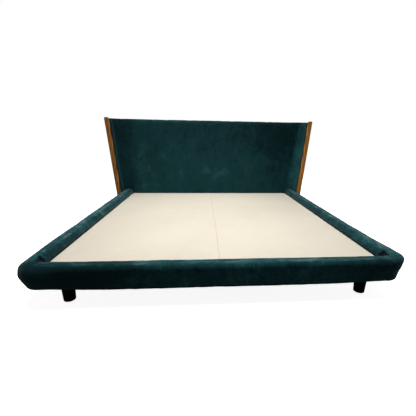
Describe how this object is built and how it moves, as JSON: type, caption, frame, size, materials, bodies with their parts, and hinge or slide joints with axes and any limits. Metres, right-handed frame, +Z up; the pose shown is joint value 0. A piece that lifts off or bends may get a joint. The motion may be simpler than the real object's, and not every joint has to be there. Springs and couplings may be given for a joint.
{
  "type": "upholstered bed",
  "caption": "Low upholstered platform bed with padded side and foot rails, a flat cloth deck, short legs and a headboard whose leaning wings end in wooden trims.",
  "frame": {"origin": "on the floor, under the middle of the bed's bounding box", "axes": "+Z up, +Y from the foot rail towards the headboard, +X to the right as seen from the foot"},
  "size_m": [2.3514, 2.2552, 1.078],
  "materials": {
    "velvet": "dark teal velvet over foam",
    "walnut": "oiled walnut",
    "deck_cloth": "cream platform cloth over a thin panel",
    "pine": "planed softwood",
    "plywood": "sanded plywood",
    "black_wood": "black lacquer",
    "steel": "zinc plated",
    "nylon": "moulded"
  },
  "bodies": {
    "bed_frame": {"headboard_pad": "velvet", "headboard_facing": "plywood", "headboard_stile_left": "pine", "headboard_stile_right": "pine", "headboard_stud_left": "pine", "headboard_stud_right": "pine", "headboard_top_rail": "pine", "headboard_bottom_rail": "pine", "headboard_back_cover": "velvet", "wing_pad_left": "velvet", "wing_pad_right": "velvet", "wing_board_left": "plywood", "wing_board_right": "plywood", "wing_outside_left": "velvet", "wing_outside_right": "velvet", "wing_trim_left": "walnut", "wing_trim_right": "walnut", "side_rail_left": "pine", "side_rail_right": "pine", "foot_rail": "pine", "side_rail_pad_left": "velvet", "side_rail_pad_right": "velvet", "foot_rail_pad": "velvet", "side_ledger_left": "pine", "side_ledger_right": "pine", "foot_ledger": "pine", "head_ledger": "pine", "center_beam": "pine", "cross_slat_1": "pine", "cross_slat_2": "pine", "cross_slat_3": "pine", "cross_slat_4": "pine", "leg_block_left": "pine", "leg_block_right": "pine", "front_leg_left": "black_wood", "front_leg_right": "black_wood", "rear_leg_left": "black_wood", "rear_leg_right": "black_wood", "center_leg_1": "black_wood", "center_leg_2": "black_wood", "front_leg_bolt_left": "steel", "front_leg_bolt_right": "steel", "rear_leg_bolt_left": "steel", "rear_leg_bolt_right": "steel", "front_leg_glide_left": "nylon", "front_leg_glide_right": "nylon", "rear_leg_glide_left": "nylon", "rear_leg_glide_right": "nylon", "rail_hook_left": "steel", "rail_hook_right": "steel", "hook_plate_left": "steel", "hook_plate_right": "steel", "corner_bracket_left": "steel", "corner_bracket_right": "steel"},
    "left_deck": {"deck_panel_left": "deck_cloth"},
    "right_deck": {"deck_panel_right": "deck_cloth"},
    "front_leveler": {"leveling_foot_1": "steel"},
    "rear_leveler": {"leveling_foot_2": "steel"}
  },
  "joints": [
    {"name": "deck_panel_left_lift", "type": "slide", "parent": "bed_frame", "child": "left_deck", "axis": [0, 0, 1], "range_m": [0, 0.3]},
    {"name": "deck_panel_right_lift", "type": "slide", "parent": "bed_frame", "child": "right_deck", "axis": [0, 0, 1], "range_m": [0, 0.3]},
    {"name": "leveling_foot_1_unscrew", "type": "slide", "parent": "bed_frame", "child": "front_leveler", "axis": [0, 0, -1], "range_m": [0, 0.012]},
    {"name": "leveling_foot_2_unscrew", "type": "slide", "parent": "bed_frame", "child": "rear_leveler", "axis": [0, 0, -1], "range_m": [0, 0.012]}
  ]
}
